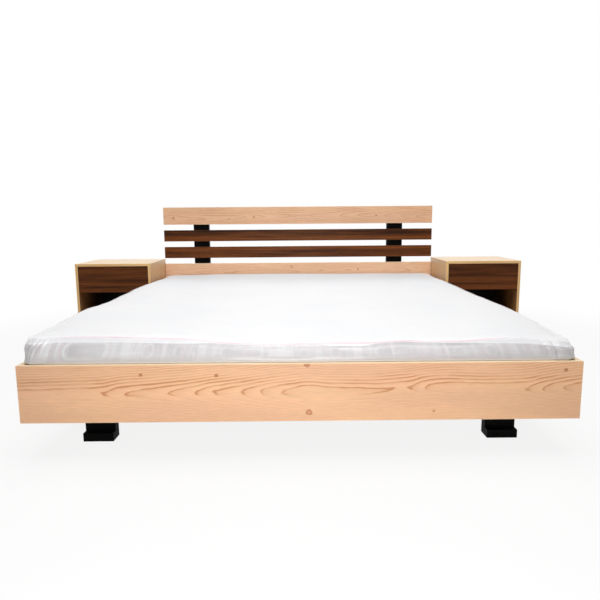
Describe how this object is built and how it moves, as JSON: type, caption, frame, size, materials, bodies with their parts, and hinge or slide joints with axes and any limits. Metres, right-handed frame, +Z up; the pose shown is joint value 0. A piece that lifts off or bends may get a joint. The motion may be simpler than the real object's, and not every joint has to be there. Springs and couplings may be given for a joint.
{
  "type": "bed with side tables",
  "caption": "Double bed with a low board frame, open slatted headboard, mattress and matching side tables with inset drawers over an open niche.",
  "frame": {"origin": "on the floor, in the middle of the whole footprint", "axes": "+Z up; +Y from the foot to the headboard; +X to the right seen from the foot"},
  "size_m": [2.794, 2.09, 0.881],
  "materials": {
    "pine_board": "satin pine-look board with fine grain, small knots and pale edging",
    "walnut_board": "satin walnut-look board with dark streaks",
    "table_pine": "satin pale pine-look board",
    "black_timber": "matte black stain",
    "base_timber": "planed raw softwood",
    "mattress_cover": "white quilted cover with a grey patterned border, in a clear wrap",
    "hardboard": "smooth brown hardboard",
    "drawer_board": "satin pale board",
    "zinc_steel": "zinc plated",
    "runner_steel": "zinc plated sheet",
    "glide_nylon": "matte",
    "beech_dowel": "raw fluted beech"
  },
  "bodies": {
    "bed_and_tables": {"bed_slats": "base_timber", "cabinet_runner_screws": "zinc_steel", "centre_beam": "base_timber", "centre_leg": "base_timber", "coach_screws": "zinc_steel", "corner_blocks": "base_timber", "footboard": "pine_board", "frame_screws": "zinc_steel", "front_bearer": "base_timber", "head_rail": "pine_board", "headboard_bottom_rail": "pine_board", "headboard_lower_slat": "walnut_board", "headboard_post_left": "black_timber", "headboard_post_right": "black_timber", "headboard_top_rail": "pine_board", "headboard_upper_slat": "walnut_board", "ledger_left": "base_timber", "ledger_right": "base_timber", "left_cabinet_runners": "runner_steel", "left_table_back": "hardboard", "left_table_bottom": "table_pine", "left_table_inner_side": "table_pine", "left_table_outer_side": "table_pine", "left_table_top": "table_pine", "leg_front_left": "black_timber", "leg_front_right": "black_timber", "leg_rear_left": "black_timber", "leg_rear_right": "black_timber", "mattress": "mattress_cover", "rear_bearer": "base_timber", "right_cabinet_runners": "runner_steel", "right_table_back": "hardboard", "right_table_bottom": "table_pine", "right_table_inner_side": "table_pine", "right_table_outer_side": "table_pine", "right_table_top": "table_pine", "side_rail_left": "pine_board", "side_rail_right": "pine_board", "table_dowels": "beech_dowel", "table_glides": "glide_nylon"},
    "left_drawer": {"left_drawer_back": "drawer_board", "left_drawer_bottom": "hardboard", "left_drawer_box_front": "drawer_board", "left_drawer_front": "walnut_board", "left_drawer_inner_side": "drawer_board", "left_drawer_outer_side": "drawer_board", "left_drawer_runner_screws": "zinc_steel", "left_drawer_runners": "runner_steel", "left_drawer_screws": "zinc_steel"},
    "left_runner_middle": {"left_middle_runners": "runner_steel"},
    "right_drawer": {"right_drawer_back": "drawer_board", "right_drawer_bottom": "hardboard", "right_drawer_box_front": "drawer_board", "right_drawer_front": "walnut_board", "right_drawer_inner_side": "drawer_board", "right_drawer_outer_side": "drawer_board", "right_drawer_runner_screws": "zinc_steel", "right_drawer_runners": "runner_steel", "right_drawer_screws": "zinc_steel"},
    "right_runner_middle": {"right_middle_runners": "runner_steel"}
  },
  "joints": [
    {"name": "left_drawer_slide", "type": "slide", "parent": "bed_and_tables", "child": "left_drawer", "axis": [0, -1, 0], "range_m": [0, 0.3]},
    {"name": "left_runner_slide", "type": "slide", "parent": "bed_and_tables", "child": "left_runner_middle", "axis": [0, -1, 0], "range_m": [0, 0.15]},
    {"name": "right_drawer_slide", "type": "slide", "parent": "bed_and_tables", "child": "right_drawer", "axis": [0, -1, 0], "range_m": [0, 0.3]},
    {"name": "right_runner_slide", "type": "slide", "parent": "bed_and_tables", "child": "right_runner_middle", "axis": [0, -1, 0], "range_m": [0, 0.15]}
  ],
  "couplings": [
    {"joint": "left_runner_slide", "follows": "left_drawer_slide", "ratio": 0.5},
    {"joint": "right_runner_slide", "follows": "right_drawer_slide", "ratio": 0.5}
  ]
}
